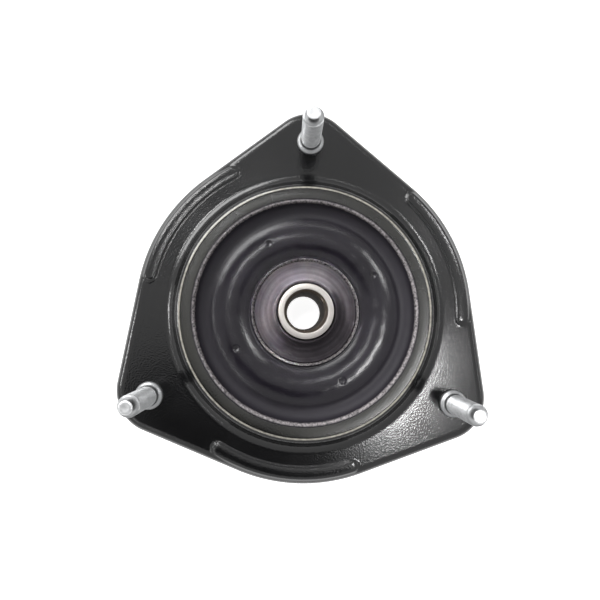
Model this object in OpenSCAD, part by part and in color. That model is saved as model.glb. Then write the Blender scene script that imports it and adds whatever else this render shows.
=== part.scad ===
// Strut top mount: three-stud pressed plate, rubber cushion and steering bearing.
// Millimetres. Z is the strut axis, the studs point up and stud one is at +Y.
// Height zero is the flat upper face of the top plate.

/* [Top plate] */
// Sheet thickness of the top plate
plate_t = 3; // [2.5:0.1:3.5]
// Distance from the stud circle in to the edge of the three long curved sides
side_in = 0.8; // [0.2:0.1:1.4]
// Distance from the stud circle in to each corner's centre
corner_in = 4.1; // [3:0.1:5]
// Radius of the three rounded corners
corner_r = 18; // [17:0.1:20]
// Outer bend radius of the rolled rim
rim_bend = 4; // [3.8:0.1:5]
// Depth of the turned-down rim, from the flat face
rim_depth = 9; // [7:0.5:12]

/* [Drawn ring] */
// Width of the flat, from the edge of a side to the foot of the ring
flat_w = 12.7; // [12:0.1:13.4]
// Width of the curved slope, seen from above
ring_run = 8; // [7.6:0.1:8.4]
// Height of the ring above the flat
ring_h = 5; // [4:0.1:6]
// Share of the slope that is the hollow curve at its foot
foot_share = 0.6; // [0.56:0.01:0.62]
// Width of the flat land around the opening in the ring
land_w = 4; // [3.6:0.1:4.4]

/* [Ribs] */
// Height of each pressed rib above the flat
rib_h = 1.2; // [1:0.1:1.5]
// Half width of each rib, at the level of the flat
rib_half_w = 2.9; // [2.7:0.05:3.1]
// Distance from the rib's middle line to the plate's edge
rib_inset = 5.1; // [4.9:0.1:5.3]
// Angle that each rib's middle line spans
rib_span = 49; // [40:1:54]
// Turn of each rib from the middle of its side
rib_shift = -6; // [-8:0.5:0]

/* [Studs] */
// Number of studs
stud_count = 3; // [3:1:3]
// Diameter of the stud circle
stud_circle_d = 141; // [139:0.5:144]
// Outer radius of the stud's thread
thread_r = 4; // [3.5:0.5:4]
// Height of the end of the thread
thread_end_z = 22.7; // [18:0.1:28]
// Height of the guide nose past the thread
nose_h = 2.4; // [1.5:0.1:4]
// Share of the thread's radius that the nose keeps
nose_share = 0.64; // [0.55:0.01:0.75]
// Radius of the shoulder on the plate
shoulder_r = 5.6; // [5.4:0.1:6]
// Height of the shoulder on the plate
shoulder_h = 1.8; // [1.2:0.1:2.5]
// Radius of the head under the plate
head_r = 7; // [6.5:0.1:7.5]
// Thickness of the head under the plate
head_t = 2.8; // [2:0.1:3.5]

/* [Lower plate] */
// Sheet thickness of the lower plate
cup_t = 2.5; // [2:0.1:3]
// Distance from the foot of the ring in to the lower plate's wall
wall_gap = 7.5; // [7:0.1:8]
// Gap between the lower plate's flange and the inside of the rim
flange_gap = 4.7; // [3.7:0.1:6.7]
// Inner bend radius between wall and flange
flange_bend_in = 3; // [2.5:0.1:3.5]
// Depth of the seat face, from the flat face of the top plate
seat_depth = 26.5; // [26:0.1:32]
// Radius of the opening in the seat
seat_opening_r = 29; // [27:0.1:32]
// Inner bend radius between wall and seat
seat_bend = 2.5; // [2:0.1:3]

/* [Rubber] */
// Radius of the cushion's crest
crest_r = 31.2; // [30:0.1:33]
// Height of the cushion's crest
crest_z = 2.5; // [1.5:0.1:3.2]
// Radius of the cushion's curve, in section
crest_curve = 16; // [15:0.1:17]
// Width of the lip that covers the edge of the ring
lip_w = 1; // [0.8:0.1:1.4]
// Width of the flat collar around the hub
collar_w = 1.5; // [1:0.1:2]
// Number of moulding pits on the crest
pit_count = 4; // [3:1:6]
// Radius of each moulding pit
pit_r = 0.9; // [0.6:0.1:1.2]

/* [Hub] */
// Outer radius of the bearing housing
hub_r = 20.6; // [20.3:0.1:21]
// Height of the housing's rim
hub_rim_z = 0.6; // [0.3:0.1:1]
// Radius of the hollow curve from the housing's rim up to its neck
hub_curve = 6.6; // [6:0.1:6.8]
// Wall of the housing's neck around the sleeve
hub_neck_w = 0.9; // [0.7:0.1:1.1]
// Height of the housing's neck
hub_top_z = 8.2; // [8:0.1:8.6]
// Radius of the anchor flange in the rubber
anchor_r = 40; // [36:0.1:42]
// Thickness of the anchor flange
anchor_t = 3; // [2.5:0.1:3.5]

/* [Bearing] */
// Bore for the strut rod
rod_d = 15; // [14:0.1:15.4]
// Outer diameter of the sleeve
sleeve_d = 21.5; // [21.2:0.1:21.8]
// Height of the sleeve's upper end
sleeve_top_z = 9.5; // [9:0.1:11]
// Distance from the sleeve's lower end up from the seat face
sleeve_lift = 2; // [1:0.1:4]
// Bevel at both ends of the bore
bore_bevel = 1; // [0.6:0.1:1.2]
// Outer diameter of the bearing
bearing_d = 35; // [34.8:0.1:35.2]
// Width of the bearing
bearing_w = 11; // [10.6:0.1:11.4]
// Depth of the bearing's upper face
bearing_depth = 2; // [1.8:0.1:2.4]
// Diameter of each ball
ball_d = 6; // [5.8:0.1:6.2]
// Number of balls
ball_count = 8; // [7:1:9]
// Thickness of each bearing seal
seal_t = 0.8; // [0.6:0.1:1]
// Thickness of the retaining ring
clip_t = 1.5; // [1.2:0.1:1.8]

/* [Fits] */
// Clearance between curved faces of neighbouring pieces
fit = 0.3; // [0.25:0.01:0.35]

/* [Hidden] */
$fn = 96;
eps = 0.01;
stud_step = 360 / stud_count;
first_stud = 90;
stud_circle_r = stud_circle_d / 2;
side_r = stud_circle_r - side_in;
corner_dist = stud_circle_r - corner_in;
// Half angle of a corner's arc, where the straight edge touches both curves
corner_half = acos((side_r - corner_r) / corner_dist);
edge_len = corner_dist * sin(corner_half);
edge_w = 8;
// Straight edges lie this far inside the curves, so that they cross them cleanly
edge_sink = 0.1;
// The slabs reach down to here before the rim is cut to its depth
slab_low = -2 * rim_depth;
// Slope of the drawn ring: two curves that meet at one angle
slope_a = 2 * atan(ring_h / ring_run);
slope_sum = ring_run / sin(slope_a);
foot_curve = slope_sum * foot_share;
top_curve = slope_sum - foot_curve;
ring_foot_r = side_r - flat_w;
ring_top_r = ring_foot_r - ring_run;
opening_r = ring_top_r - land_w;
ring_under_z = ring_h - plate_t;
// A rib's sides lean in by this much per millimetre of height
rib_lean = 0.45;
rib_root = 1.2;
// A rib's round ends are this much slimmer and lower than the rib, so that they cross it cleanly
rib_end_in = 0.1;
// A rib's hollow is this much slimmer than the rib's flat top, on each side
rib_wall = 0.9;
// Angle that a rib's hollow keeps from the straight edges
edge_clear = 1.5;
rib_mid_r = side_r - rib_inset;
neck_step = 0.5;
neck_r = thread_r + neck_step;
shoulder_edge_z = shoulder_h * 0.6;
nose_r = thread_r * nose_share;
nose_slope_h = nose_h * 0.5;
nose_bevel = nose_h * 0.2;
cup_r = ring_foot_r - wall_gap;
cup_flange_r = side_r - plate_t - flange_gap;
cup_floor_z = cup_t - seat_depth;
flange_bend = cup_t + flange_bend_in;
lip_out_r = opening_r - fit;
lip_in_r = lip_out_r - lip_w;
lip_edge_z = ring_h - lip_w / 2;
crest_mid_z = crest_z - crest_curve;
// The hollow outside the cushion is a curve that touches the cushion's curve and the lip
lip_run = lip_in_r - crest_r;
lip_rise = lip_edge_z - crest_mid_z;
hollow_curve = (pow(lip_run, 2) + pow(lip_rise, 2) - pow(crest_curve, 2)) / (2 * (crest_curve + lip_run));
hollow_r = lip_in_r - hollow_curve;
touch_share = crest_curve / (crest_curve + hollow_curve);
touch_r = crest_r + (hollow_r - crest_r) * touch_share;
touch_z = crest_mid_z + lip_rise * touch_share;
// Depth below the crest where the cushion joins the block
cushion_h = 3.7;
cushion_low_z = crest_z - cushion_h;
cushion_r = cup_r - fit;
shelf_back = 0.1;
shelf_r = ring_top_r - shelf_back;
shelf_drop = 1.8;
hub_gap_r = hub_r + fit;
collar_slope = 1.2;
pit_start = 30;
anchor_top_z = -9;
anchor_low_z = anchor_top_z - anchor_t;
bearing_top_z = -bearing_depth;
bearing_low_z = bearing_top_z - bearing_w;
clip_low_z = bearing_low_z - clip_t;
clip_groove = 1;
hub_tail = 2.3;
hub_low_z = clip_low_z - hub_tail;
hub_curve_z = hub_rim_z + hub_curve;
race_r = bearing_d / 2;
race_seat_r = race_r + fit;
sleeve_r = sleeve_d / 2;
rod_r = rod_d / 2;
sleeve_low_z = sleeve_lift - seat_depth;
sleeve_gap = 0.65;
sleeve_gap_r = sleeve_r + sleeve_gap;
hub_neck_r = sleeve_gap_r + hub_neck_w;
race_wall = 3;
race_in_r = race_r - race_wall;
ball_r = ball_d / 2;
ball_ring_r = (sleeve_r + race_in_r) / 2;
ball_z = bearing_top_z - bearing_w / 2;
track_r = ball_r + fit;
cage_half_w = 0.65;
cage_rim = 0.6;
cage_half_h = track_r + cage_rim;
seal_bite = 0.5;
seal_set = 0.4;

// Helpers

// A bent strip of sheet, in section: a ring between two angles
module bend(r_in, r_out, a0, a1) {
    mid = (a0 + a1) / 2;
    reach = 2 * r_out;
    intersection() {
        difference() {
            circle(r = r_out);
            circle(r = r_in);
        }
        polygon([[0, 0],
                 [reach * cos(a0), reach * sin(a0)],
                 [reach * cos(mid), reach * sin(mid)],
                 [reach * cos(a1), reach * sin(a1)]]);
    }
}

module at_studs() {
    for (i = [0 : stud_count - 1])
        rotate([0, 0, first_stud + i * stud_step])
            children();
}

// Section of a rib, from its middle line outwards, with its root sunk in the sheet
module half_rib(half_w) {
    polygon([[0, -rib_root],
             [half_w + rib_root * rib_lean, -rib_root],
             [half_w - rib_h * rib_lean, rib_h],
             [0, rib_h]]);
}

// A pressed rib along a part of a circle, with round ends
module rib() {
    rotate([0, 0, -rib_span / 2])
        rotate_extrude(angle = rib_span)
            translate([rib_mid_r, 0])
                for (side = [0, 1])
                    mirror([side, 0])
                        half_rib(rib_half_w);
    for (side = [-1, 1])
        rotate([0, 0, side * rib_span / 2])
            translate([rib_mid_r, 0, -rib_end_in])
                rotate_extrude()
                    half_rib(rib_half_w - rib_end_in);
}

// The hollow that the press leaves under a rib, clear of the straight edges
module rib_hollow() {
    half_w = rib_half_w - rib_h * rib_lean - rib_wall;
    limit = stud_step / 2 - corner_half - edge_clear;
    start = max(rib_shift - rib_span / 2, -limit);
    end = min(rib_shift + rib_span / 2, limit);
    rotate([0, 0, start])
        rotate_extrude(angle = end - start)
            translate([rib_mid_r - half_w, -plate_t - half_w])
                square([2 * half_w, rib_h + half_w]);
}

// Half section of a slab with a rounded upper edge
module slab_section(width) {
    translate([0, slab_low])
        square([width, -rim_bend - slab_low]);
    translate([0, -rim_bend])
        square([width - rim_bend, rim_bend]);
    translate([width - rim_bend, -rim_bend])
        intersection() {
            circle(r = rim_bend);
            square(rim_bend);
        }
}

// A corner's four-sided field between the round middle and the round corner, drawn in by a given distance
module corner_field(inset) {
    big = side_r - inset;
    small = corner_r - inset;
    c = cos(corner_half);
    s = sin(corner_half);
    polygon([[big * c, big * s],
             [corner_dist + small * c, small * s],
             [corner_dist + small * c, -small * s],
             [big * c, -big * s]]);
}

// The plate as a full slab: a round middle, three round corners and six straight edges
module plate_slab() {
    rotate_extrude()
        slab_section(side_r);
    at_studs() {
        translate([corner_dist, 0, 0])
            rotate_extrude()
                slab_section(corner_r);
        for (side = [0, 1])
            mirror([0, side, 0])
                rotate([0, 0, corner_half])
                    translate([side_r - edge_w - edge_sink, 0, 0])
                        rotate([90, 0, 0])
                            linear_extrude(height = edge_len)
                                slab_section(edge_w);
        translate([0, 0, slab_low])
            linear_extrude(height = -slab_low)
                corner_field(edge_w / 2);
    }
}

// The space inside the rim and under the sheet
module plate_space() {
    translate([0, 0, slab_low - plate_t])
        linear_extrude(height = -slab_low) {
            circle(r = side_r - plate_t);
            at_studs() {
                translate([corner_dist, 0])
                    circle(r = corner_r - plate_t);
                corner_field(plate_t + edge_sink);
            }
        }
}

// Section of the drawn ring: hollow curve, round curve and the land at the opening
module ring_section() {
    translate([ring_foot_r, foot_curve])
        bend(foot_curve, foot_curve + plate_t, 270 - slope_a, 270);
    translate([ring_top_r, ring_h - top_curve])
        bend(top_curve - plate_t, top_curve, 90 - slope_a, 90);
    translate([opening_r, ring_under_z])
        square([ring_top_r - opening_r, plate_t]);
}

// Sub-parts

module top_plate() {
    color("#1d1d1f")
    difference() {
        union() {
            difference() {
                plate_slab();
                plate_space();
                translate([0, 0, -plate_t - eps])
                    cylinder(r = ring_foot_r, h = plate_t + 2 * eps);
                translate([0, 0, slab_low - rim_depth])
                    cylinder(r = 2 * side_r, h = 2 * rim_depth);
            }
            rotate_extrude()
                ring_section();
            at_studs()
                rotate([0, 0, stud_step / 2 + rib_shift])
                    rib();
        }
        at_studs()
            translate([stud_circle_r, 0, -plate_t - eps])
                cylinder(r = neck_r + fit, h = plate_t + 2 * eps);
        at_studs()
            rotate([0, 0, stud_step / 2])
                rib_hollow();
    }
}

module stud() {
    translate([0, 0, -plate_t - head_t])
        cylinder(r = head_r, h = head_t);
    translate([0, 0, -plate_t])
        cylinder(r = neck_r, h = plate_t);
    cylinder(r = shoulder_r, h = shoulder_edge_z);
    translate([0, 0, shoulder_edge_z])
        cylinder(r1 = shoulder_r, r2 = neck_r, h = shoulder_h - shoulder_edge_z);
    translate([0, 0, shoulder_h])
        cylinder(r = thread_r, h = thread_end_z - shoulder_h);
    translate([0, 0, thread_end_z])
        cylinder(r1 = thread_r, r2 = nose_r, h = nose_slope_h);
    translate([0, 0, thread_end_z + nose_slope_h])
        cylinder(r = nose_r, h = nose_h - nose_slope_h - nose_bevel);
    translate([0, 0, thread_end_z + nose_h - nose_bevel])
        cylinder(r1 = nose_r, r2 = nose_r - nose_bevel, h = nose_bevel);
}

module mounting_studs() {
    color("#b9bcc0")
    at_studs()
        translate([stud_circle_r, 0, 0])
            stud();
}

module lower_plate() {
    color("#202123")
    rotate_extrude() {
        translate([cup_r + flange_bend, -plate_t - cup_t])
            square([cup_flange_r - cup_r - flange_bend, cup_t]);
        translate([cup_r + flange_bend, -plate_t - flange_bend])
            bend(flange_bend - cup_t, flange_bend, 90, 180);
        translate([cup_r, cup_floor_z + seat_bend])
            square([cup_t, seat_depth - cup_t - seat_bend - plate_t - flange_bend]);
        translate([cup_r - seat_bend, cup_floor_z + seat_bend])
            bend(seat_bend, seat_bend + cup_t, 270, 360);
        translate([seat_opening_r, -seat_depth])
            square([cup_r - seat_bend - seat_opening_r, cup_t]);
    }
}

// Section of the rubber below the cushion: lip, outer wall, seat side, hub side and the hollow
module rubber_block() {
    foot = cushion_r - seat_bend;
    difference() {
        polygon([[hub_gap_r, hub_low_z],
                 [seat_opening_r - lip_w, cup_floor_z],
                 [foot, cup_floor_z],
                 [cushion_r, cup_floor_z + seat_bend],
                 [cushion_r, ring_under_z - shelf_drop],
                 [shelf_r, ring_under_z],
                 [lip_out_r, ring_under_z],
                 [lip_out_r, lip_edge_z],
                 [lip_out_r - lip_w / 2, ring_h],
                 [lip_in_r, lip_edge_z],
                 [hollow_r, lip_edge_z],
                 [touch_r, touch_z],
                 [touch_r, cushion_low_z],
                 [hub_gap_r + collar_w + collar_slope, cushion_low_z],
                 [hub_gap_r + collar_w, hub_rim_z],
                 [hub_gap_r, hub_rim_z]]);
        translate([hollow_r, lip_edge_z])
            circle(r = hollow_curve);
    }
}

module rubber_insulator() {
    color("#2b2a2d")
    difference() {
        rotate_extrude()
            difference() {
                union() {
                    rubber_block();
                    intersection() {
                        translate([crest_r, crest_mid_z])
                            circle(r = crest_curve);
                        translate([hub_gap_r, cushion_low_z - eps])
                            square([touch_r - hub_gap_r, crest_curve]);
                    }
                }
                translate([hub_gap_r - eps, anchor_low_z])
                    square([anchor_r + fit - hub_gap_r + eps, anchor_t]);
            }
        for (i = [0 : pit_count - 1])
            rotate([0, 0, pit_start + i * 360 / pit_count])
                translate([crest_r, 0, crest_z])
                    sphere(r = pit_r);
    }
}

// A steel cup for the bearing, with a flared neck above and an anchor flange in the rubber
module bearing_housing() {
    groove_r = race_seat_r + clip_groove;
    color("#3a3a3d")
    rotate_extrude()
        difference() {
            polygon([[race_seat_r, hub_low_z],
                     [hub_r, hub_low_z],
                     [hub_r, anchor_low_z],
                     [anchor_r, anchor_low_z],
                     [anchor_r, anchor_top_z],
                     [hub_r, anchor_top_z],
                     [hub_r, hub_rim_z],
                     [hub_neck_r + hub_curve, hub_rim_z],
                     [hub_neck_r, hub_curve_z],
                     [hub_neck_r, hub_top_z],
                     [sleeve_gap_r, hub_top_z],
                     [sleeve_gap_r, bearing_top_z],
                     [race_seat_r, bearing_top_z],
                     [race_seat_r, bearing_low_z],
                     [groove_r, bearing_low_z],
                     [groove_r, clip_low_z],
                     [race_seat_r, clip_low_z]]);
            translate([hub_neck_r + hub_curve, hub_curve_z])
                circle(r = hub_curve);
        }
}

module retaining_ring() {
    clip_span = 330;
    color("#8d9095")
    rotate([0, 0, first_stud + (360 - clip_span) / 2])
        rotate_extrude(angle = clip_span)
            translate([race_in_r + race_wall / 2, clip_low_z])
                square([race_seat_r + clip_groove - fit - race_in_r - race_wall / 2, clip_t]);
}

module outer_race() {
    seat_r = race_in_r + seal_bite + fit;
    color("#c9ccd0")
    rotate_extrude()
        difference() {
            translate([race_in_r, bearing_low_z])
                square([race_wall, bearing_w]);
            translate([ball_ring_r, ball_z])
                circle(r = track_r);
            for (z = [bearing_top_z - seal_set - seal_t, bearing_low_z + seal_set])
                translate([race_in_r - eps, z])
                    square([seat_r - race_in_r + eps, seal_t]);
        }
}

module inner_race() {
    color("#dcdcda")
    rotate_extrude()
        difference() {
            polygon([[rod_r, sleeve_low_z + bore_bevel],
                     [rod_r + bore_bevel, sleeve_low_z],
                     [sleeve_r, sleeve_low_z],
                     [sleeve_r, sleeve_top_z],
                     [rod_r + bore_bevel, sleeve_top_z],
                     [rod_r, sleeve_top_z - bore_bevel]]);
            translate([ball_ring_r, ball_z])
                circle(r = track_r);
        }
}

module ball_ring(r) {
    for (i = [0 : ball_count - 1])
        rotate([0, 0, i * 360 / ball_count])
            translate([ball_ring_r, 0, ball_z])
                sphere(r = r);
}

module bearing_balls() {
    color("#e4e6e8")
    ball_ring(ball_r);
}

module ball_cage() {
    color("#9a9da1")
    difference() {
        rotate_extrude()
            translate([ball_ring_r - cage_half_w, ball_z - cage_half_h])
                square([2 * cage_half_w, 2 * cage_half_h]);
        ball_ring(track_r);
    }
}

// A flat seal whose outer edge sits in the outer race
module seal(z) {
    translate([0, 0, z])
        rotate_extrude()
            translate([sleeve_r + fit, 0])
                square([race_in_r + seal_bite - sleeve_r - fit, seal_t]);
}

module upper_seal() {
    color("#18181a")
    seal(bearing_top_z - seal_set - seal_t);
}

module lower_seal() {
    color("#18181a")
    seal(bearing_low_z + seal_set);
}

top_plate();
mounting_studs();
lower_plate();
rubber_insulator();
bearing_housing();
retaining_ring();
outer_race();
inner_race();
bearing_balls();
ball_cage();
upper_seal();
lower_seal();
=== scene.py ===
"""Looks of the strut top mount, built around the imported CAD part.

Sizes are in millimetres, as in the part's source, and become metres where a mesh is made.
"""
import math

import bmesh
import bpy
import numpy as np
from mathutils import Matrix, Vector, noise


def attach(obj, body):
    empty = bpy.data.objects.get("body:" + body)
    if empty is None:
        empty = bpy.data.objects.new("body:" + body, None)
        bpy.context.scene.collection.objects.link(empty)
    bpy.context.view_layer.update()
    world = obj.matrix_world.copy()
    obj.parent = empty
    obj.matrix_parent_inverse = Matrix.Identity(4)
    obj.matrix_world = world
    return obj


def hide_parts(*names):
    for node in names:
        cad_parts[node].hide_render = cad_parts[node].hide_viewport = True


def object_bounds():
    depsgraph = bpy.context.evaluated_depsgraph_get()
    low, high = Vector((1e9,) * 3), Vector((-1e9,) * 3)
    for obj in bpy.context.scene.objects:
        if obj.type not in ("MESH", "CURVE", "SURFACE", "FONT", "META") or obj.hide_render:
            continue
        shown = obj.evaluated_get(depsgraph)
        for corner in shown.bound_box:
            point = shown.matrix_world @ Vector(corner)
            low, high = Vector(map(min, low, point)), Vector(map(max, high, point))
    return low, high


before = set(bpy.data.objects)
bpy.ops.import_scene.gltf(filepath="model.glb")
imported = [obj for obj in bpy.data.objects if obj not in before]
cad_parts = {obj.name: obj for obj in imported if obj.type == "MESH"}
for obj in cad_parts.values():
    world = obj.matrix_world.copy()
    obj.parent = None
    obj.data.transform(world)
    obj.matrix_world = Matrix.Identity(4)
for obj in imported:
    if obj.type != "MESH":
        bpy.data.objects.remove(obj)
cad_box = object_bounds()

MM = 0.001
STUD_ANGLES = (90.0, 210.0, 330.0)
STUD_STEP = 120.0

# Fineness of the meshes
CORNER_STEPS = 48
STRAIGHT_STEPS = 44
SIDE_STEPS = 76
FLAT_STEPS = 30
STUD_STEPS = 56
HOLE_STEPS = 48
ROWS_PER_TURN = 12
CUSHION_STEPS = 420
TURNED_STEPS = 240
TURNED_SPACING = 1.5
CUSHION_SPACING = 0.9
EASE_SHARE = 0.4
MERGE_DISTANCE = 1e-7

# Angles up to which a surface is shaded smooth
TURNED_SMOOTH = 40.0
PRESSED_SMOOTH = 50.0
MOULDED_SMOOTH = 60.0

# Sizes of the top plate
PLATE_T = 3.0
SIDE_R = 69.7
CORNER_DIST = 66.4
CORNER_R = 18.0
RIM_BEND = 4.0
RIM_DEPTH = 9.0
RIM_EDGE = 0.7
RING_FOOT_R = 57.0
RING_RUN = 8.0
RING_H = 5.0
FOOT_SHARE = 0.6
OPENING_R = 45.0
OPENING_EDGE = 0.5
LAND_DROP = 0.1
RIB_H = 1.0
RIB_CROWN = 0.3
RIB_TOP_W = 1.9
RIB_FOOT_W = 3.0
RIB_R = SIDE_R - 5.1
RIB_HALF_SPAN = 24.5
RIB_TURN = 54.0

# Sizes of the studs; a section lists the radius and height of each point
STUD_R = 70.5
STUD_HOLE_R = 4.8
THREAD_R = 4.0
THREAD_ROOT_R = 3.3
THREAD_PITCH = 1.25
THREAD_FLAT = 0.12
THREAD_RUNOUT = 0.4
SHANK_TOP_Z = 3.0
THREAD_END_Z = 21.9
NOSE_R = 2.56
NOSE_TOP_Z = 25.1
NOSE_EDGE = 0.4
END_FACE_Z = NOSE_TOP_Z - 0.15
STUD_HEAD = [(0.0, -5.8), (6.3, -5.8), (6.8, -5.6), (7.0, -5.2), (7.0, -3.3), (6.8, -3.05), (6.3, -3.0)]
STUD_SHOULDER = [(4.5, -3.0), (4.5, 0.0), (5.3, 0.0), (5.6, 0.25), (5.6, 0.9), (5.45, 1.25), (5.0, 1.65),
                 (4.7, 1.8), (4.3, 2.1), (4.08, 2.5), (THREAD_R, SHANK_TOP_Z)]
STUD_NOSE = [(3.45, THREAD_END_Z + 0.12), (3.2, THREAD_END_Z + 0.4), (NOSE_R, THREAD_END_Z + 1.4),
             (NOSE_R, NOSE_TOP_Z - NOSE_EDGE), (NOSE_R - 0.12, END_FACE_Z), (NOSE_R - NOSE_EDGE, NOSE_TOP_Z),
             (1.5, NOSE_TOP_Z), (1.1, NOSE_TOP_Z - 0.05), (0.6, NOSE_TOP_Z - 0.11), (0.0, NOSE_TOP_Z - 0.13)]

# Sizes of the hub
HUB_R = 20.6
HUB_BORE_R = 17.8
HUB_LOW_Z = -16.8
HUB_RIM_Z = 0.6
HUB_EASE = 0.35
ANCHOR_R = 40.0
ANCHOR_TOP_Z = -9.0
ANCHOR_LOW_Z = -12.0
FLARE_R = 6.6
NECK_R = 12.3
NECK_TOP_Z = 8.2
NECK_BORE_R = 11.4
BEARING_TOP_Z = -2.0
GROOVE_R = 18.8
GROOVE_TOP_Z = -13.0
GROOVE_LOW_Z = -14.5

# Sizes of the sleeve; the ball track lists radius and height from its middle
SLEEVE_R = 10.75
SLEEVE_TOP_Z = 9.5
SLEEVE_LOW_Z = -24.5
SLEEVE_EASE = 0.3
BORE_R = 7.5
BORE_BEVEL = 1.0
TRACK_Z = -7.5
BALL_TRACK = [(SLEEVE_R, -2.4), (9.65, -1.1), (9.3, 0.0), (9.65, 1.1), (SLEEVE_R, 2.4)]

# Sizes of the cup
CUP_T = 2.5
CUP_LOW_Z = -26.5
CUP_EASE = 0.4
SEAT_HOLE_R = 29.0
CUP_BEND_R = 5.0
CUP_BEND = (47.0, CUP_LOW_Z + CUP_BEND_R)
FLANGE_R = 62.0
FLANGE_BEND_R = 3.0
FLANGE_BEND = (55.0, -PLATE_T - CUP_T - FLANGE_BEND_R)

# Sizes of the rubber
RUBBER_R = 49.2
RUBBER_FOOT_R = 28.0
RUBBER_FOOT_Z = CUP_LOW_Z + CUP_T
RUBBER_BEVEL = 2.5
SHOULDER_Z = 0.2
SHOULDER_IN = 0.3
RUBBER_EASE = 0.2
LIP_OUT_R = 44.7
LIP_IN_R = 43.7
LIP_EDGE_Z = 4.5
LIP_BEAD = [(LIP_OUT_R, 4.9), (45.1, 5.0), (45.25, 5.15), (45.05, 5.3), (44.6, 5.35), (44.15, 5.25),
            (43.85, 4.95)]
CREST_R = 31.2
CREST_Z = 2.5
CREST_CURVE = 16.0
HUB_GAP_R = 20.9
ANCHOR_GAP = 0.3
COLLAR_R = 22.4
COLLAR_RUN = 0.4
FLASH_BEAD = [(COLLAR_R, 0.2), (22.1, 0.8), (21.85, 1.15), (21.6, 1.2), (HUB_GAP_R, 0.2)]
FLASH_EASE = 0.08
PIT_COUNT = 4
PIT_FIRST = 30.0
PIT_R = 1.5
PIT_DEPTH = 0.75

# Moulded unevenness of the rubber: where each edge begins, then size, fineness around the edge and seed
FINER_SIZE = 0.6
FINER_TIMES = 2.7
LIP_FROM_R = 43.0
LIP_FROM_Z = 3.9
LIP_WANDER = (0.16, 26.0, 3.0)
LIP_WAVE = (0.12, 22.0, 9.0)
LIP_SINK = 0.1
FLASH_TO_R = 23.0
FLASH_FROM_Z = 0.4
FLASH_WANDER = (0.12, 18.0, 5.0)
FLASH_WAVE = (0.14, 16.0, 13.0)
FACE_FROM_Z = -1.0
FACE_WAVE = 0.06
FACE_WAVES_PER_MM = 0.22

# Where a finish changes: a ring about the axis is given by from, to and soft side
# Olive tint on the worn land, partly a painted reflection
WORN_LAND_AND_SHEEN = (45.0, 48.6, 1.2)
# Painted highlight: a pale line along the ring's crest
PAINTED_CREST_HIGHLIGHT = (49.7, 50.05, 0.3)
# Pale bloom on the lip and the hub flash, partly a painted highlight along these edges
LIP_BLOOM_AND_HIGHLIGHT = (43.7, 44.5, 0.5)
FLASH_BLOOM_AND_HIGHLIGHT = (20.8, 21.6, 0.2)
BLOOM_HIGHLIGHT_FROM_Z = 3.6
BLOOM_HIGHLIGHT_FULL_Z = 4.6
DULL_FROM_R = 36.0
DULL_FULL_R = 40.5
BORE_SOFT = 0.1

# Sockets of the colour mix, which share their names with others
MIX_FACTOR = 0
MIX_FIRST = 6
MIX_SECOND = 7
MIX_RESULT = 2

# Stage and camera
FLOOR_HALF = 2500.0
FLOOR_GAP = 0.2
FLOOR_GLOW = 0.93
ROOM_LIGHT = 0.05
CAMERA_PLACE = (-6.745, -4.593, 170.095)
CAMERA_TILT = (3.0785, -1.6048, 1.809)
CAMERA_LENS = 25.1
CAMERA_SENSOR = 36.0
CAMERA_NEAR = 5.0

# Lamps: azimuth, elevation, distance, width, height, watts and spread in degrees
OPEN = 180.0
LAMPS = {
    "upper_left_box": (130, 34, 900, 710, 380, 8.0, OPEN),
    "left_box": (180, 28, 900, 200, 100, 1.3, OPEN),
    "upper_left_strip": (137, 55, 900, 300, 30, 2.0, OPEN),
    "hub_snoot": (122, 24, 300, 36, 14, 0.0085, 3.4),
    "overhead_left_strip": (122, 77, 900, 150, 32, 0.8, OPEN),
    "right_strip": (32, 55, 900, 190, 34, 1.25, OPEN),
    "lower_right_box": (-29, 70, 900, 210, 40, 2.8, OPEN),
    "tube_1": (85, 45, 800, 500, 8, 0.32, OPEN),
    "tube_2": (214, 40, 800, 500, 8, 0.32, OPEN),
    "tube_3": (10, 25, 800, 500, 8, 0.32, OPEN),
}

# Dark flags: azimuth, elevation, distance, width and height
FLAGS = {
    "room_flag": (248, 68, 1300, 820, 420),
    "hub_flag_1": (-29, 72, 300, 110, 48),
    "hub_flag_2": (137, 55, 300, 140, 56),
}


def circle_points(centre, radius, start, end, count):
    """Points on an arc, with angles in degrees."""
    angles = np.radians(np.linspace(start, end, count))
    return [(centre[0] + radius * math.cos(a), centre[1] + radius * math.sin(a)) for a in angles]


def eased_loop(corners, radius, steps=4):
    """A closed section whose corners are rounded by a small radius, as on a real edge."""
    eased = []
    total = len(corners)
    for i in range(total):
        before, here, after = (Vector(corners[(i + k) % total]) for k in (-1, 0, 1))
        to_before = before - here
        to_after = after - here
        reach = min(radius, EASE_SHARE * to_before.length, EASE_SHARE * to_after.length)
        start = here + to_before.normalized() * reach
        end = here + to_after.normalized() * reach
        for k in range(steps + 1):
            t = k / steps
            eased.append(tuple((1 - t) ** 2 * start + 2 * t * (1 - t) * here + t * t * end))
    return eased


def closely(points, spacing):
    """The same closed section with extra points on its long straight runs."""
    dense = []
    for here, after in zip(points, points[1:] + points[:1]):
        count = max(1, int(math.dist(here, after) / spacing))
        for k in range(count):
            t = k / count
            dense.append((here[0] + (after[0] - here[0]) * t, here[1] + (after[1] - here[1]) * t))
    return dense


def grid_piece(name, points, smooth):
    """A closed piece from rings of points: the last ring joins the first, and each ring closes too."""
    rings = len(points)
    around = len(points[0])
    vertices = (np.asarray(points, float).reshape(-1, 3) * MM).tolist()
    faces = []
    for i in range(rings):
        j = (i + 1) % rings
        for k in range(around):
            n = (k + 1) % around
            faces.append((i * around + k, j * around + k, j * around + n, i * around + n))
    mesh = bpy.data.meshes.new(name)
    mesh.from_pydata(vertices, [], faces)
    return finished_piece(name, mesh, smooth)


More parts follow.
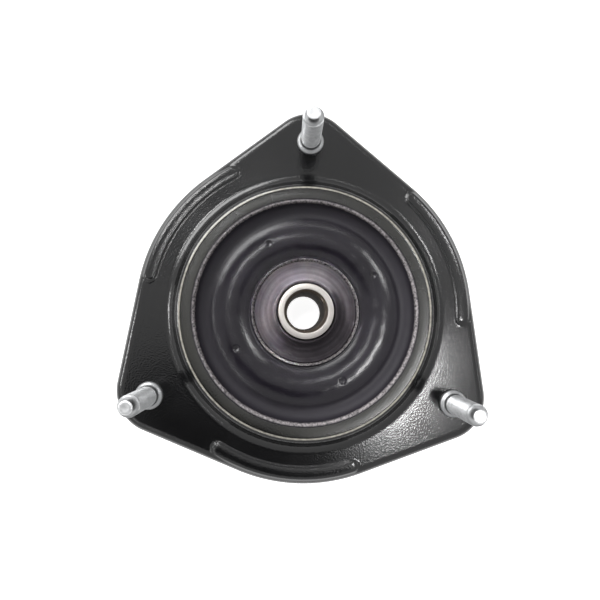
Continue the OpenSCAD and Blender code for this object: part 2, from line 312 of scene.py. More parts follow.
def finished_piece(name, mesh, smooth):
    """Puts a mesh in the scene with its faces turned outwards and shaded smooth up to an angle."""
    work = bmesh.new()
    work.from_mesh(mesh)
    bmesh.ops.remove_doubles(work, verts=work.verts, dist=MERGE_DISTANCE)
    bmesh.ops.recalc_face_normals(work, faces=work.faces)
    work.to_mesh(mesh)
    work.free()
    piece = bpy.data.objects.new(name, mesh)
    bpy.context.scene.collection.objects.link(piece)
    mesh.shade_smooth()
    mesh.set_sharp_from_angle(angle=math.radians(smooth))
    return piece


def turned_piece(name, section, steps=TURNED_STEPS, shift=None, smooth=TURNED_SMOOTH):
    """A piece turned about the strut's axis from a closed section; shift moves single points."""
    rings = []
    for i in range(steps):
        angle = 2 * math.pi * i / steps
        ring = []
        for r, z in section:
            if shift:
                r, z = shift(r, z, angle)
            ring.append((r * math.cos(angle), r * math.sin(angle), z))
        rings.append(ring)
    return grid_piece(name, rings, smooth)


# Shape of the top plate

def plate_outline():
    """Points and outward directions along the plate's edge: corner, straight, side, straight."""
    half = math.acos((SIDE_R - CORNER_R) / CORNER_DIST)
    points = []
    normals = []
    for stud in STUD_ANGLES:
        a = math.radians(stud)
        centre = np.array([math.cos(a), math.sin(a)]) * CORNER_DIST
        for t in np.linspace(-half, half, CORNER_STEPS, endpoint=False):
            n = np.array([math.cos(a + t), math.sin(a + t)])
            points.append(centre + CORNER_R * n)
            normals.append(n)
        n = np.array([math.cos(a + half), math.sin(a + half)])
        for t in np.linspace(0, 1, STRAIGHT_STEPS, endpoint=False):
            points.append((centre + CORNER_R * n) * (1 - t) + SIDE_R * n * t)
            normals.append(n)
        b = a + math.radians(STUD_STEP)
        last = b - half
        for t in np.linspace(a + half, last, SIDE_STEPS, endpoint=False):
            n = np.array([math.cos(t), math.sin(t)])
            points.append(SIDE_R * n)
            normals.append(n)
        centre = np.array([math.cos(b), math.sin(b)]) * CORNER_DIST
        n = np.array([math.cos(last), math.sin(last)])
        for t in np.linspace(0, 1, STRAIGHT_STEPS, endpoint=False):
            points.append(SIDE_R * n * (1 - t) + (centre + CORNER_R * n) * t)
            normals.append(n)
    return points, normals


def rib_height(x, y):
    """Height that the three pressed ribs add at a place on the plate."""
    r = math.hypot(x, y)
    angle = math.degrees(math.atan2(y, x))
    nearest = math.inf
    for stud in STUD_ANGLES:
        turn = (angle - stud - RIB_TURN + 180.0) % 360.0 - 180.0
        if abs(turn) <= RIB_HALF_SPAN:
            distance = abs(r - RIB_R)
        else:
            past = math.radians(abs(turn) - RIB_HALF_SPAN)
            distance = math.hypot(r - RIB_R * math.cos(past), RIB_R * math.sin(past))
        nearest = min(nearest, distance)
    t = (nearest - RIB_TOP_W) / (RIB_FOOT_W - RIB_TOP_W)
    t = min(max(t, 0.0), 1.0)
    crown = 1 - RIB_CROWN * min(nearest / RIB_FOOT_W, 1.0) ** 2
    return RIB_H * crown * (1 - t * t * (3 - 2 * t))


def ring_sections():
    """Upper and lower side of the drawn ring, from the opening out to the foot."""
    slope = 2 * math.degrees(math.atan(RING_H / RING_RUN))
    both = RING_RUN / math.sin(math.radians(slope))
    foot_r = both * FOOT_SHARE
    top_r = both - foot_r
    crest = (RING_FOOT_R - RING_RUN, RING_H - top_r)
    foot = (RING_FOOT_R, foot_r)
    upper = circle_points(crest, top_r, 90, 90 - slope, 12)
    upper += circle_points(foot, foot_r, 270 - slope, 270, 10)[1:]
    lower = circle_points(crest, top_r - PLATE_T, 90, 90 - slope, 8)
    lower += circle_points(foot, foot_r + PLATE_T, 270 - slope, 270, 10)[1:]
    under = RING_H - PLATE_T
    brink = RING_H - LAND_DROP - OPENING_EDGE
    edge = [(OPENING_R + OPENING_EDGE, under), (OPENING_R, under + OPENING_EDGE), (OPENING_R, brink)]
    edge += circle_points((OPENING_R + OPENING_EDGE, brink), OPENING_EDGE, 150, 90, 3)
    return edge + upper, lower


def pressed_plate():
    """The plate pressed from one sheet: drawn ring, three ribs, rolled rim and an even thickness."""
    upper, lower = ring_sections()
    across = np.linspace(0, 1, FLAT_STEPS)[1:-1]
    low = RIM_EDGE - RIM_DEPTH
    inner = RIM_BEND - PLATE_T
    rim_edge = circle_points((RIM_BEND - RIM_EDGE, low), RIM_EDGE, 0, -90, 4)
    rim_edge += circle_points((inner + RIM_EDGE, low), RIM_EDGE, -90, -180, 4)
    rings = []
    for edge, n in zip(*plate_outline()):
        bend = edge - RIM_BEND * n
        out = bend / np.linalg.norm(bend)
        foot = out * RING_FOOT_R
        ring = [(*(out * r), z) for r, z in upper]
        for t in across:
            x, y = foot * (1 - t) + bend * t
            ring.append((x, y, rib_height(x, y)))
        for a in np.radians(np.linspace(0, 90, 11)):
            x, y = bend + n * RIM_BEND * math.sin(a)
            ring.append((x, y, RIM_BEND * (math.cos(a) - 1) + rib_height(x, y) * math.cos(a)))
        for r, z in rim_edge:
            ring.append((*(bend + n * r), z))
        for a in np.radians(np.linspace(90, 0, 4)):
            ring.append((*(bend + n * inner * math.sin(a)), inner * math.cos(a) - RIM_BEND))
        for t in across[::-1]:
            x, y = foot * (1 - t) + bend * t
            ring.append((x, y, rib_height(x, y) - PLATE_T))
        ring += [(*(out * r), z) for r, z in lower[::-1]]
        rings.append(ring)
    plate = grid_piece("pressed_plate", rings, PRESSED_SMOOTH)
    drill_stud_holes(plate)
    return plate


def drill_stud_holes(plate):
    """Three round holes for the studs."""
    work = bmesh.new()
    for stud in STUD_ANGLES:
        a = math.radians(stud)
        made = bmesh.ops.create_cone(work, cap_ends=True, segments=HOLE_STEPS, radius1=STUD_HOLE_R * MM,
                                     radius2=STUD_HOLE_R * MM, depth=4 * PLATE_T * MM)
        place = Vector((STUD_R * math.cos(a), STUD_R * math.sin(a), 0)) * MM
        bmesh.ops.translate(work, verts=made["verts"], vec=place)
    mesh = bpy.data.meshes.new("stud_drills")
    work.to_mesh(mesh)
    work.free()
    drills = bpy.data.objects.new("stud_drills", mesh)
    bpy.context.scene.collection.objects.link(drills)
    cut = plate.modifiers.new("stud_holes", "BOOLEAN")
    cut.operation = "DIFFERENCE"
    cut.object = drills
    cut.solver = "MANIFOLD"
    apply_modifiers(plate)
    bpy.data.objects.remove(drills)
    plate.data.set_sharp_from_angle(angle=math.radians(PRESSED_SMOOTH))


def apply_modifiers(piece):
    """Makes the modifiers' result the piece's own mesh."""
    bpy.context.view_layer.update()
    graph = bpy.context.evaluated_depsgraph_get()
    result = bpy.data.meshes.new_from_object(piece.evaluated_get(graph))
    piece.modifiers.clear()
    piece.data = result


# Shape of the studs

def thread_radius(z, angle):
    """Radius of the rolled thread at a height and angle; it fades in above the shank and out at the end."""
    phase = (z / THREAD_PITCH - angle / (2 * math.pi)) % 1.0
    tooth = abs(2 * phase - 1)
    tooth = min(max((tooth - THREAD_FLAT) / (1 - 2 * THREAD_FLAT), 0.0), 1.0)
    fade = min(max((z - SHANK_TOP_Z) / THREAD_PITCH, 0.0), 1.0)
    fade *= min(max((THREAD_END_Z - z) / (THREAD_RUNOUT * THREAD_PITCH), 0.0), 1.0)
    depth = (THREAD_R - THREAD_ROOT_R) * fade
    return THREAD_R - depth * (1 - tooth)


def stud_piece(name, stud):
    """A press stud: head under the plate, shoulder on it, plain shank, rolled thread and guide nose."""
    rows = int((THREAD_END_Z - SHANK_TOP_Z) / THREAD_PITCH * ROWS_PER_TURN)
    thread = [(None, z) for z in np.linspace(SHANK_TOP_Z, THREAD_END_Z, rows)[1:]]
    a = math.radians(stud)
    cx = STUD_R * math.cos(a)
    cy = STUD_R * math.sin(a)
    work = bmesh.new()
    rings = []
    for r, z in STUD_HEAD + STUD_SHOULDER + thread + STUD_NOSE:
        if r == 0.0:
            rings.append([work.verts.new(Vector((cx, cy, z)) * MM)])
            continue
        ring = []
        for i in range(STUD_STEPS):
            angle = 2 * math.pi * i / STUD_STEPS
            here = thread_radius(z, angle) if r is None else r
            place = Vector((cx + here * math.cos(angle), cy + here * math.sin(angle), z))
            ring.append(work.verts.new(place * MM))
        rings.append(ring)
    for low, high in zip(rings, rings[1:]):
        for i in range(STUD_STEPS):
            j = (i + 1) % STUD_STEPS
            if len(low) == 1:
                work.faces.new((low[0], high[j], high[i]))
            elif len(high) == 1:
                work.faces.new((low[i], low[j], high[0]))
            else:
                work.faces.new((low[i], low[j], high[j], high[i]))
    mesh = bpy.data.meshes.new(name)
    work.to_mesh(mesh)
    work.free()
    return finished_piece(name, mesh, TURNED_SMOOTH)


# Shape of the rubber

def rubber_section():
    """Closed section of the cushion, from its foot on the seat round to the hub side."""
    under = RING_H - PLATE_T
    outer = [(RUBBER_FOOT_R, RUBBER_FOOT_Z), (RUBBER_R - RUBBER_BEVEL, RUBBER_FOOT_Z),
             (RUBBER_R, RUBBER_FOOT_Z + RUBBER_BEVEL), (RUBBER_R, SHOULDER_Z),
             (RUBBER_R - SHOULDER_IN, under), (LIP_OUT_R, under), *LIP_BEAD]
    curve_z = CREST_Z - CREST_CURVE
    run = LIP_IN_R - CREST_R
    rise = LIP_EDGE_Z - curve_z
    hollow_curve = (run ** 2 + rise ** 2 - CREST_CURVE ** 2) / (2 * (CREST_CURVE + run))
    touch = math.degrees(math.atan2(rise, run - hollow_curve))
    hollow = circle_points((LIP_IN_R - hollow_curve, LIP_EDGE_Z), hollow_curve, 0, touch - 180, 16)
    collar = math.degrees(math.acos((COLLAR_R + COLLAR_RUN - CREST_R) / CREST_CURVE))
    top = circle_points((CREST_R, curve_z), CREST_CURVE, touch, collar, 46)[1:]
    groove_r = ANCHOR_R + ANCHOR_GAP
    hub_side = [*FLASH_BEAD, (HUB_GAP_R, ANCHOR_TOP_Z), (groove_r, ANCHOR_TOP_Z), (groove_r, ANCHOR_LOW_Z),
                (HUB_GAP_R, ANCHOR_LOW_Z), (HUB_GAP_R, HUB_LOW_Z)]
    section = eased_loop(outer, RUBBER_EASE, 2) + hollow + top + eased_loop(hub_side, FLASH_EASE, 1)
    return closely(section, CUSHION_SPACING)


def ragged(angle, size, along, seed):
    """Uneven run of a moulded flash edge around the axis."""
    place = Vector((along * math.cos(angle), along * math.sin(angle), seed))
    return size * (noise.noise(place) + FINER_SIZE * noise.noise(place * FINER_TIMES))


def rubber_shift(r, z, angle):
    """Moulded unevenness: ragged lip at the ring, ragged flash at the hub and pits on the crest."""
    if z > LIP_FROM_Z and r > LIP_FROM_R:
        r += ragged(angle, *LIP_WANDER)
        z += ragged(angle, *LIP_WAVE) - LIP_SINK
    elif z > FLASH_FROM_Z and r < FLASH_TO_R:
        r += ragged(angle, *FLASH_WANDER)
        z += ragged(angle, *FLASH_WAVE)
    elif z > FACE_FROM_Z and FLASH_TO_R < r < LIP_FROM_R:
        x = r * math.cos(angle)
        y = r * math.sin(angle)
        z += FACE_WAVE * noise.noise(Vector((x, y, 0)) * FACE_WAVES_PER_MM)
        for i in range(PIT_COUNT):
            a = math.radians(PIT_FIRST + 360.0 / PIT_COUNT * i)
            away = math.hypot(x - CREST_R * math.cos(a), y - CREST_R * math.sin(a))
            if away < PIT_R:
                z -= PIT_DEPTH * (1 - (away / PIT_R) ** 2) ** 2
    return r, z


# Sections of the hub, the sleeve and the cup

def hub_section():
    """Housing with an anchor ring in the rubber and a hollow flare up to the neck."""
    flare = circle_points((NECK_R + FLARE_R, HUB_RIM_Z + FLARE_R), FLARE_R, 270, 180, 14)
    return [(HUB_BORE_R, HUB_LOW_Z), (HUB_R, HUB_LOW_Z), (HUB_R, ANCHOR_LOW_Z), (ANCHOR_R, ANCHOR_LOW_Z),
            (ANCHOR_R, ANCHOR_TOP_Z), (HUB_R, ANCHOR_TOP_Z), (HUB_R, HUB_RIM_Z), *flare,
            (NECK_R, NECK_TOP_Z), (NECK_BORE_R, NECK_TOP_Z), (NECK_BORE_R, BEARING_TOP_Z),
            (HUB_BORE_R, BEARING_TOP_Z), (HUB_BORE_R, GROOVE_TOP_Z), (GROOVE_R, GROOVE_TOP_Z),
            (GROOVE_R, GROOVE_LOW_Z), (HUB_BORE_R, GROOVE_LOW_Z)]


def sleeve_section():
    """Inner race with its ball track, drawn up into the sleeve for the strut rod."""
    bevel_r = BORE_R + BORE_BEVEL
    track = [(r, TRACK_Z + z) for r, z in BALL_TRACK]
    return [(BORE_R, SLEEVE_LOW_Z + BORE_BEVEL), (bevel_r, SLEEVE_LOW_Z), (SLEEVE_R, SLEEVE_LOW_Z), *track,
            (SLEEVE_R, SLEEVE_TOP_Z), (bevel_r, SLEEVE_TOP_Z), (BORE_R, SLEEVE_TOP_Z - BORE_BEVEL)]


def cup_section():
    """Pressed cup under the rubber: seat, wall and a flange under the plate."""
    flange_low = FLANGE_BEND[1] + FLANGE_BEND_R
    section = [(SEAT_HOLE_R, CUP_LOW_Z)]
    section += circle_points(CUP_BEND, CUP_BEND_R, -90, 0, 9)
    section += circle_points(FLANGE_BEND, FLANGE_BEND_R, 180, 90, 7)
    section += [(FLANGE_R, flange_low), (FLANGE_R, flange_low + CUP_T)]
    section += circle_points(FLANGE_BEND, FLANGE_BEND_R + CUP_T, 90, 180, 9)
    section += circle_points(CUP_BEND, CUP_BEND_R - CUP_T, 0, -90, 6)
    return section + [(SEAT_HOLE_R, CUP_LOW_Z + CUP_T)]


# Finishes

def linear(hex_colour):
    """sRGB hex to linear red, green, blue and alpha."""
    parts = [int(hex_colour[i:i + 2], 16) / 255 for i in (1, 3, 5)]
    return [c / 12.92 if c <= 0.04045 else ((c + 0.055) / 1.055) ** 2.4 for c in parts] + [1.0]


def add(tree, kind, inputs=None, **settings):
    """Adds a node; an input is a constant or another node's output."""
    made = tree.nodes.new(kind)
    for name, value in settings.items():
        setattr(made, name, value)
    for name, value in (inputs or {}).items():
        if isinstance(value, bpy.types.NodeSocket):
            tree.links.new(value, made.inputs[name])
        else:
            made.inputs[name].default_value = value
    return made


def per_mm(size):
    """Texture scale for a pattern of this size in millimetres."""
    return 1.0 / (size * MM)


def new_finish(name, **constants):
    """A material with its tree, its shader and its object coordinates."""
    finish = bpy.data.materials.new(name)
    finish.use_nodes = True
    tree = finish.node_tree
    tree.nodes.clear()
    shader = add(tree, "ShaderNodeBsdfPrincipled", {k.replace("_", " "): v for k, v in constants.items()})
    add(tree, "ShaderNodeOutputMaterial", {"Surface": shader.outputs["BSDF"]})
    place = add(tree, "ShaderNodeTexCoord").outputs["Object"]
    return finish, tree, shader, place


def join(tree, shader, **sources):
    """Links outputs to the shader's sockets."""
    for name, source in sources.items():
        tree.links.new(source, shader.inputs[name.replace("_", " ")])


def axis_distance(tree, place):
    """Distance from the strut's axis, in metres."""
    flat = add(tree, "ShaderNodeVectorMath", {0: place, 1: (1.0, 1.0, 0.0)}, operation="MULTIPLY")
    return add(tree, "ShaderNodeVectorMath", {0: flat.outputs["Vector"]},
               operation="LENGTH").outputs["Value"]


def band(tree, distance, low, high, soft):
    """One inside a ring about the axis and zero outside it, with soft sides."""
    rise = add(tree, "ShaderNodeMapRange",
               {"Value": distance, "From Min": (low - soft) * MM, "From Max": low * MM})
    fall = add(tree, "ShaderNodeMapRange", {"Value": distance, "From Min": high * MM,
                                            "From Max": (high + soft) * MM, "To Min": 1.0, "To Max": 0.0})
    return add(tree, "ShaderNodeMath", {0: rise.outputs["Result"], 1: fall.outputs["Result"]},
               operation="MULTIPLY").outputs["Value"]


def gloss_black_coating(name, ring_wear_and_painted_sheen):
    """Stoved black coating on pressed steel: deep gloss with an orange peel of about 0.7 mm in it.

    Around the ring the coating is thin, dull and olive on the land by the rubber, the olive tint partly a
    painted reflection, and a pale line painted along the ring's edge is a painted highlight.
    """
    black = linear("#0f0f10")
    finish, tree, shader, place = new_finish(name, IOR=1.48, Base_Color=black)
    peel = add(tree, "ShaderNodeTexNoise",
               {"Vector": place, "Scale": per_mm(0.7), "Detail": 1.5, "Roughness": 0.45})
    bump = add(tree, "ShaderNodeBump",
               {"Height": peel.outputs["Fac"], "Strength": 0.75, "Distance": 0.06 * MM})
    drift = add(tree, "ShaderNodeTexNoise", {"Vector": place, "Scale": per_mm(22.0), "Detail": 3.0})
    rough = add(tree, "ShaderNodeMapRange",
                {"Value": drift.outputs["Fac"], "To Min": 0.12, "To Max": 0.21}).outputs["Result"]
    if ring_wear_and_painted_sheen:
        distance = axis_distance(tree, place)
        patchy = add(tree, "ShaderNodeMapRange", {"Value": drift.outputs["Fac"], "From Min": 0.25,
                                                "From Max": 0.75, "To Min": 0.2, "To Max": 1.0})
        land_wear_and_sheen = add(tree, "ShaderNodeMath", {0: band(tree, distance, *WORN_LAND_AND_SHEEN), 1: patchy.outputs["Result"]},
                   operation="MULTIPLY").outputs["Value"]
        # Painted highlight: a pale, broken line along the ring's crest
        crest_highlight_noise = add(tree, "ShaderNodeTexNoise", {"Vector": place, "Scale": per_mm(1.6), "Detail": 3.0})
        crest_highlight_breakup = add(tree, "ShaderNodeMapRange", {"Value": crest_highlight_noise.outputs["Fac"], "From Min": 0.3,
                                                  "From Max": 0.6, "To Min": 0.55, "To Max": 1.0})
        edge = add(tree, "ShaderNodeMath",
                   {0: band(tree, distance, *PAINTED_CREST_HIGHLIGHT), 1: crest_highlight_breakup.outputs["Result"]},
                   operation="MULTIPLY").outputs["Value"]
        # Olive on the land: a thin-coating tint that partly stands in as a painted reflection
        olive = add(tree, "ShaderNodeMix",
                    {MIX_FACTOR: land_wear_and_sheen, MIX_FIRST: black, MIX_SECOND: linear("#181710")},
                    data_type="RGBA").outputs[MIX_RESULT]
        # The pale colour mixed in here is the painted highlight on the ring's crest
        colour = add(tree, "ShaderNodeMix",
                     {MIX_FACTOR: edge, MIX_FIRST: olive, MIX_SECOND: linear("#b3afa4")},
                     data_type="RGBA").outputs[MIX_RESULT]
        rough = add(tree, "ShaderNodeMath", {0: land_wear_and_sheen, 1: 0.22, 2: rough},
                    operation="MULTIPLY_ADD").outputs["Value"]
        join(tree, shader, Base_Color=colour)
    join(tree, shader, Roughness=rough, Normal=bump.outputs["Normal"])
    return finish


def zinc_plating():
    """Passivated zinc on steel: a pale, slightly cloudy metal with a fine dull grain.

    The stud's end face is painted brighter, a painted highlight on the tip.
    """
    finish, tree, shader, place = new_finish("zinc_plating", Metallic=1.0)
    cloud = add(tree, "ShaderNodeTexNoise",
                {"Vector": place, "Scale": per_mm(2.2), "Detail": 3.0}).outputs["Fac"]
    height = add(tree, "ShaderNodeSeparateXYZ", {"Vector": place}).outputs["Z"]
    # Painted highlight: the nose's end face is made brighter
    end = add(tree, "ShaderNodeMapRange", {"Value": height, "From Min": (NOSE_TOP_Z - NOSE_EDGE) * MM,
                                           "From Max": END_FACE_Z * MM})
    cloudy = add(tree, "ShaderNodeMix",
                 {MIX_FACTOR: cloud, MIX_FIRST: linear("#747576"), MIX_SECOND: linear("#a3a4a5")},
                 data_type="RGBA").outputs[MIX_RESULT]
    colour = add(tree, "ShaderNodeMix",
                 {MIX_FACTOR: end.outputs["Result"], MIX_FIRST: cloudy, MIX_SECOND: linear("#c4c5c6")},
                 data_type="RGBA").outputs[MIX_RESULT]
    rough = add(tree, "ShaderNodeMapRange", {"Value": cloud, "To Min": 0.3, "To Max": 0.44})
    grain = add(tree, "ShaderNodeTexNoise", {"Vector": place, "Scale": per_mm(0.35), "Detail": 2.0})
    bump = add(tree, "ShaderNodeBump",
               {"Height": grain.outputs["Fac"], "Strength": 0.25, "Distance": 0.03 * MM})
    join(tree, shader, Base_Color=colour, Roughness=rough.outputs["Result"], Normal=bump.outputs["Normal"])
    return finish


def moulded_rubber():
    """Natural rubber with carbon black, moulded: half gloss with a fine skin grain.

    Pale grey bloom is painted on its flash edges, bright enough to be a painted highlight along them, and
    the hollow beside the lip is dull.
    """
    finish, tree, shader, place = new_finish("moulded_rubber", IOR=1.52, Specular_IOR_Level=0.32)
    distance = axis_distance(tree, place)
    height = add(tree, "ShaderNodeSeparateXYZ", {"Vector": place}).outputs["Z"]
    high = add(tree, "ShaderNodeMapRange",
               {"Value": height, "From Min": BLOOM_HIGHLIGHT_FROM_Z * MM, "From Max": BLOOM_HIGHLIGHT_FULL_Z * MM})
    lip = add(tree, "ShaderNodeMath", {0: band(tree, distance, *LIP_BLOOM_AND_HIGHLIGHT), 1: high.outputs["Result"]},
              operation="MULTIPLY")
    edges = add(tree, "ShaderNodeMath", {0: lip.outputs["Value"], 1: band(tree, distance, *FLASH_BLOOM_AND_HIGHLIGHT)},
                operation="MAXIMUM")
    skin = add(tree, "ShaderNodeTexNoise",
               {"Vector": place, "Scale": per_mm(0.8), "Detail": 3.0}).outputs["Fac"]
    broken = add(tree, "ShaderNodeMapRange", {"Value": skin, "From Min": 0.28, "From Max": 0.72})
    bloom_and_highlight = add(tree, "ShaderNodeMath", {0: edges.outputs["Value"], 1: broken.outputs["Result"]},
                operation="MULTIPLY")
    cloud = add(tree, "ShaderNodeTexNoise",
                {"Vector": place, "Scale": per_mm(9.0), "Detail": 3.0}).outputs["Fac"]
    body = add(tree, "ShaderNodeMix",
               {MIX_FACTOR: cloud, MIX_FIRST: linear("#161319"), MIX_SECOND: linear("#221f27")},
               data_type="RGBA").outputs[MIX_RESULT]
    # Pale bloom on the flash edges, partly a painted highlight
    colour = add(tree, "ShaderNodeMix",
                 {MIX_FACTOR: bloom_and_highlight.outputs["Value"], MIX_FIRST: body, MIX_SECOND: linear("#b3adae")},
                 data_type="RGBA").outputs[MIX_RESULT]
    gloss = add(tree, "ShaderNodeMapRange", {"Value": cloud, "To Min": 0.15, "To Max": 0.24})
    dull = add(tree, "ShaderNodeMapRange", {"Value": distance, "From Min": DULL_FROM_R * MM,
                                            "From Max": DULL_FULL_R * MM, "To Min": 0.0, "To Max": 0.4})
    rough = add(tree, "ShaderNodeMath", {0: gloss.outputs["Result"], 1: dull.outputs["Result"]})
    bump = add(tree, "ShaderNodeBump", {"Height": skin, "Strength": 0.35, "Distance": 0.12 * MM})
    join(tree, shader, Base_Color=colour, Roughness=rough.outputs["Value"], Normal=bump.outputs["Normal"])
    return finish


def turned_metal(name, dark, light, low, high, groove, depth, bore=None):
    """Steel turned on a lathe: fine rings about the axis catch the light as thin lines.

    The rings are drawn coarser than the real tool marks so that they show. A bore is left dull and brown
    inside the radius given.
    """
    finish, tree, shader, place = new_finish(name, Metallic=1.0)
    distance = axis_distance(tree, place)
    height = add(tree, "ShaderNodeSeparateXYZ", {"Vector": place}).outputs["Z"]
    run = add(tree, "ShaderNodeMath", {0: distance, 1: height}, operation="SUBTRACT").outputs["Value"]
    marks = add(tree, "ShaderNodeTexNoise", {"W": run, "Scale": per_mm(groove), "Detail": 3.0},
                noise_dimensions="1D").outputs["Fac"]
    cloud = add(tree, "ShaderNodeTexNoise",
                {"Vector": place, "Scale": per_mm(5.0), "Detail": 3.0}).outputs["Fac"]
    tone = add(tree, "ShaderNodeMath", {0: marks, 1: cloud, 2: 0.2}, operation="MULTIPLY_ADD")
    colour = add(tree, "ShaderNodeMix",
                 {MIX_FACTOR: tone.outputs["Value"], MIX_FIRST: linear(dark), MIX_SECOND: linear(light)},
                 data_type="RGBA").outputs[MIX_RESULT]
    rough = add(tree, "ShaderNodeMapRange",
                {"Value": cloud, "To Min": low, "To Max": high}).outputs["Result"]
    if bore:
        face = add(tree, "ShaderNodeMapRange", {"Value": distance, "From Min": (bore - BORE_SOFT) * MM,
                                                "From Max": (bore + BORE_SOFT) * MM}).outputs["Result"]
        colour = add(tree, "ShaderNodeMix",
                     {MIX_FACTOR: face, MIX_FIRST: linear("#4d4640"), MIX_SECOND: colour},
                     data_type="RGBA").outputs[MIX_RESULT]
        dull = add(tree, "ShaderNodeMapRange", {"Value": face, "To Min": 0.85, "To Max": 0.0})
        rough = add(tree, "ShaderNodeMath", {0: dull.outputs["Result"], 1: rough},
                    operation="MAXIMUM").outputs["Value"]
    bump = add(tree, "ShaderNodeBump", {"Height": marks, "Strength": 0.4, "Distance": depth * MM})
    join(tree, shader, Base_Color=colour, Roughness=rough, Normal=bump.outputs["Normal"])
    return finish


def phosphated_steel():
    """Turned steel under a grey phosphate skin: a dull, fine-grained grey that shades like stone.

    Faint tool rings show through, drawn coarser than the real ones so that they show.
    """
    finish, tree, shader, place = new_finish("phosphated_steel", IOR=1.6, Specular_IOR_Level=0.05)
    distance = axis_distance(tree, place)
    rings = add(tree, "ShaderNodeTexNoise", {"W": distance, "Scale": per_mm(1.1), "Detail": 3.0},
                noise_dimensions="1D").outputs["Fac"]
    cloud = add(tree, "ShaderNodeTexNoise",
                {"Vector": place, "Scale": per_mm(4.0), "Detail": 4.0}).outputs["Fac"]
    tone = add(tree, "ShaderNodeMath", {0: rings, 1: cloud}, operation="MULTIPLY")
    colour = add(tree, "ShaderNodeMix",
                 {MIX_FACTOR: tone.outputs["Value"], MIX_FIRST: linear("#383438"),
                  MIX_SECOND: linear("#6a656a")}, data_type="RGBA").outputs[MIX_RESULT]
    rough = add(tree, "ShaderNodeMapRange", {"Value": cloud, "To Min": 0.48, "To Max": 0.62})
    bump = add(tree, "ShaderNodeBump", {"Height": rings, "Strength": 0.4, "Distance": 0.06 * MM})
    join(tree, shader, Base_Color=colour, Roughness=rough.outputs["Result"], Normal=bump.outputs["Normal"])
    return finish


def seal_rubber():
    """Nitrile seal lip: plain matt black rubber with a slight mould grain."""
    finish, tree, shader, place = new_finish("seal_rubber", IOR=1.52)
    cloud = add(tree, "ShaderNodeTexNoise",
                {"Vector": place, "Scale": per_mm(3.0), "Detail": 3.0}).outputs["Fac"]
    colour = add(tree, "ShaderNodeMix",
                 {MIX_FACTOR: cloud, MIX_FIRST: linear("#131314"), MIX_SECOND: linear("#1f1f21")},
                 data_type="RGBA").outputs[MIX_RESULT]
    rough = add(tree, "ShaderNodeMapRange", {"Value": cloud, "To Min": 0.5, "To Max": 0.66})
    join(tree, shader, Base_Color=colour, Roughness=rough.outputs["Result"])
    return finish


def dress(piece, finish, body, slot_name, *nodes):
    """Gives a piece its finish and its body, and hides the CAD nodes that it stands for; the slot name is
    not used.
    """
    piece.data.materials.clear()
    piece.data.materials.append(finish)
    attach(piece, body)
    if nodes:
        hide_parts(*nodes)


# Pieces

plate_coating = gloss_black_coating("gloss_black_coating", True)
cup_coating = gloss_black_coating("even_black_coating", False)
zinc = zinc_plating()
rubber = moulded_rubber()
seal = seal_rubber()
hub_steel = phosphated_steel()
sleeve_steel = turned_metal("bright_turned_steel", "#a29e9a", "#c1bdb9", low=0.26, high=0.4, groove=0.35,
                            depth=0.015, bore=BORE_R + BORE_BEVEL)
bearing_steel = turned_metal("ground_bearing_steel", "#b9bbbe", "#dcdde0", low=0.14, high=0.24, groove=0.3,
                             depth=0.008)
spring_steel = turned_metal("spring_steel", "#6a6c70", "#8c8f94", low=0.3, high=0.44, groove=0.5, depth=0.02)

dress(pressed_plate(), plate_coating, "mount", "gloss_black_paint", "top_plate")

for number, stud in enumerate(STUD_ANGLES, 1):
    dress(stud_piece(f"press_stud_{number}", stud), zinc, "mount", "zinc_plated_steel", "mounting_studs")

cushion = turned_piece("rubber_cushion", rubber_section(), CUSHION_STEPS, rubber_shift, MOULDED_SMOOTH)
dress(cushion, rubber, "mount", "black_rubber", "rubber_insulator")

hub = turned_piece("hub_housing", closely(eased_loop(hub_section(), HUB_EASE), TURNED_SPACING))
dress(hub, hub_steel, "mount", "dark_primer", "bearing_housing")

sleeve = turned_piece("rod_sleeve", closely(eased_loop(sleeve_section(), SLEEVE_EASE), TURNED_SPACING))
dress(sleeve, sleeve_steel, "strut_sleeve", "machined_steel", "inner_race")

cup = turned_piece("seat_cup", closely(eased_loop(cup_section(), CUP_EASE, 3), TURNED_SPACING))
dress(cup, cup_coating, "mount", "gloss_black_paint", "lower_plate")

for node_name, finish in (("retaining_ring", spring_steel), ("outer_race", bearing_steel),
                          ("bearing_balls", bearing_steel), ("ball_cage", spring_steel),
                          ("upper_seal", seal), ("lower_seal", seal)):
    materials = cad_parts[node_name].data.materials
    materials.clear()
    materials.append(finish)


# Stage, camera and light

def seen_by_eye(tree):
    """One for what is seen straight, in a reflection or through glass, and zero for the light it gives."""
    path = add(tree, "ShaderNodeLightPath").outputs
    seen = add(tree, "ShaderNodeMath", {0: path["Is Camera Ray"], 1: path["Is Glossy Ray"]},
               operation="MAXIMUM")
    return add(tree, "ShaderNodeMath", {0: seen.outputs["Value"], 1: path["Is Transmission Ray"]},
               operation="MAXIMUM").outputs["Value"]


def flat_sheet(name, across, up, level, finish):
    """A flat sheet with a finish, from half its width, half its height and its level in metres."""
    mesh = bpy.data.meshes.new(name)
    corners = [(-across, -up, level), (across, -up, level), (across, up, level), (-across, up, level)]
    mesh.from_pydata(corners, [], [(0, 1, 2, 3)])
    mesh.materials.append(finish)
    sheet = bpy.data.objects.new(name, mesh)
    bpy.context.scene.collection.objects.link(sheet)
    return sheet


def pale_floor():
    """A white sweep: it renders white where it is lit and keeps the part's shadow."""
    finish, tree, shader, _ = new_finish("pale_floor", Base_Color=linear("#e9e9e9"), Roughness=0.9,
                                         Emission_Color=linear("#ffffff"))
    glow = add(tree, "ShaderNodeMath", {0: seen_by_eye(tree), 1: FLOOR_GLOW}, operation="MULTIPLY")
    join(tree, shader, Emission_Strength=glow.outputs["Value"])
    half = FLOOR_HALF * MM
    floor = flat_sheet("floor", half, half, cad_box[0].z - FLOOR_GAP * MM, finish)


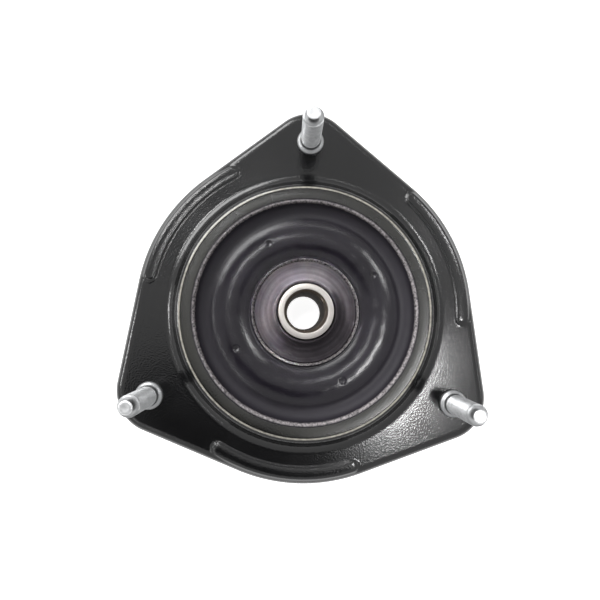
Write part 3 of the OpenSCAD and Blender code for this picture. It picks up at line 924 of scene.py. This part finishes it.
def white_room():
    """White surroundings for the eye and for reflections, and a softer level for the light they give."""
    world = bpy.data.worlds.new("white_room")
    bpy.context.scene.world = world
    world.use_nodes = True
    tree = world.node_tree
    tree.nodes.clear()
    level = add(tree, "ShaderNodeMapRange",
                {"Value": seen_by_eye(tree), "To Min": ROOM_LIGHT, "To Max": 1.0})
    glow = add(tree, "ShaderNodeBackground",
               {"Color": linear("#ffffff"), "Strength": level.outputs["Result"]})
    add(tree, "ShaderNodeOutputWorld", {"Surface": glow.outputs["Background"]})


def stand(thing, azimuth, elevation, distance):
    """Stands a lamp or a flag at a distance from the part, facing its middle."""
    turn = math.radians(azimuth)
    tilt = math.radians(elevation)
    direction = Vector((math.cos(turn) * math.cos(tilt), math.sin(turn) * math.cos(tilt), math.sin(tilt)))
    thing.location = direction * distance * MM
    thing.rotation_euler = direction.to_track_quat("Z", "Y").to_euler()


def soft_lamp(name, azimuth, elevation, distance, width, height, watts, spread):
    """A soft box that faces the middle of the part; a small spread makes it a snoot."""
    light = bpy.data.lights.new(name, "AREA")
    light.shape = "RECTANGLE"
    light.size = width * MM
    light.size_y = height * MM
    light.energy = watts
    light.spread = math.radians(spread)
    lamp = bpy.data.objects.new(name, light)
    stand(lamp, azimuth, elevation, distance)
    bpy.context.scene.collection.objects.link(lamp)


def dark_flag(name, cloth, azimuth, elevation, distance, width, height):
    """A dark card above the part: it keeps the white room out of the gloss, or a lamp off the hub."""
    flag = flat_sheet(name, width / 2 * MM, height / 2 * MM, 0.0, cloth)
    stand(flag, azimuth, elevation, distance)
    flag.visible_camera = False


def photo_camera():
    """The photograph's view: almost straight down on the studs, close and a little tilted."""
    lens = bpy.data.cameras.new("camera")
    lens.sensor_width = CAMERA_SENSOR
    lens.lens = CAMERA_LENS
    lens.clip_start = CAMERA_NEAR * MM
    camera = bpy.data.objects.new("camera", lens)
    camera.location = Vector(CAMERA_PLACE) * MM
    camera.rotation_euler = [math.radians(a) for a in CAMERA_TILT]
    bpy.context.scene.collection.objects.link(camera)
    bpy.context.scene.camera = camera


pale_floor()
white_room()
photo_camera()
for name, setting in LAMPS.items():
    soft_lamp(name, *setting)
# Matt black cloth, which gives back almost no light
flag_cloth = new_finish("flag_cloth", Base_Color=linear("#0b0b0b"), Roughness=0.9)[0]
for name, setting in FLAGS.items():
    dark_flag(name, flag_cloth, *setting)
bpy.context.scene.view_settings.view_transform = "Standard"
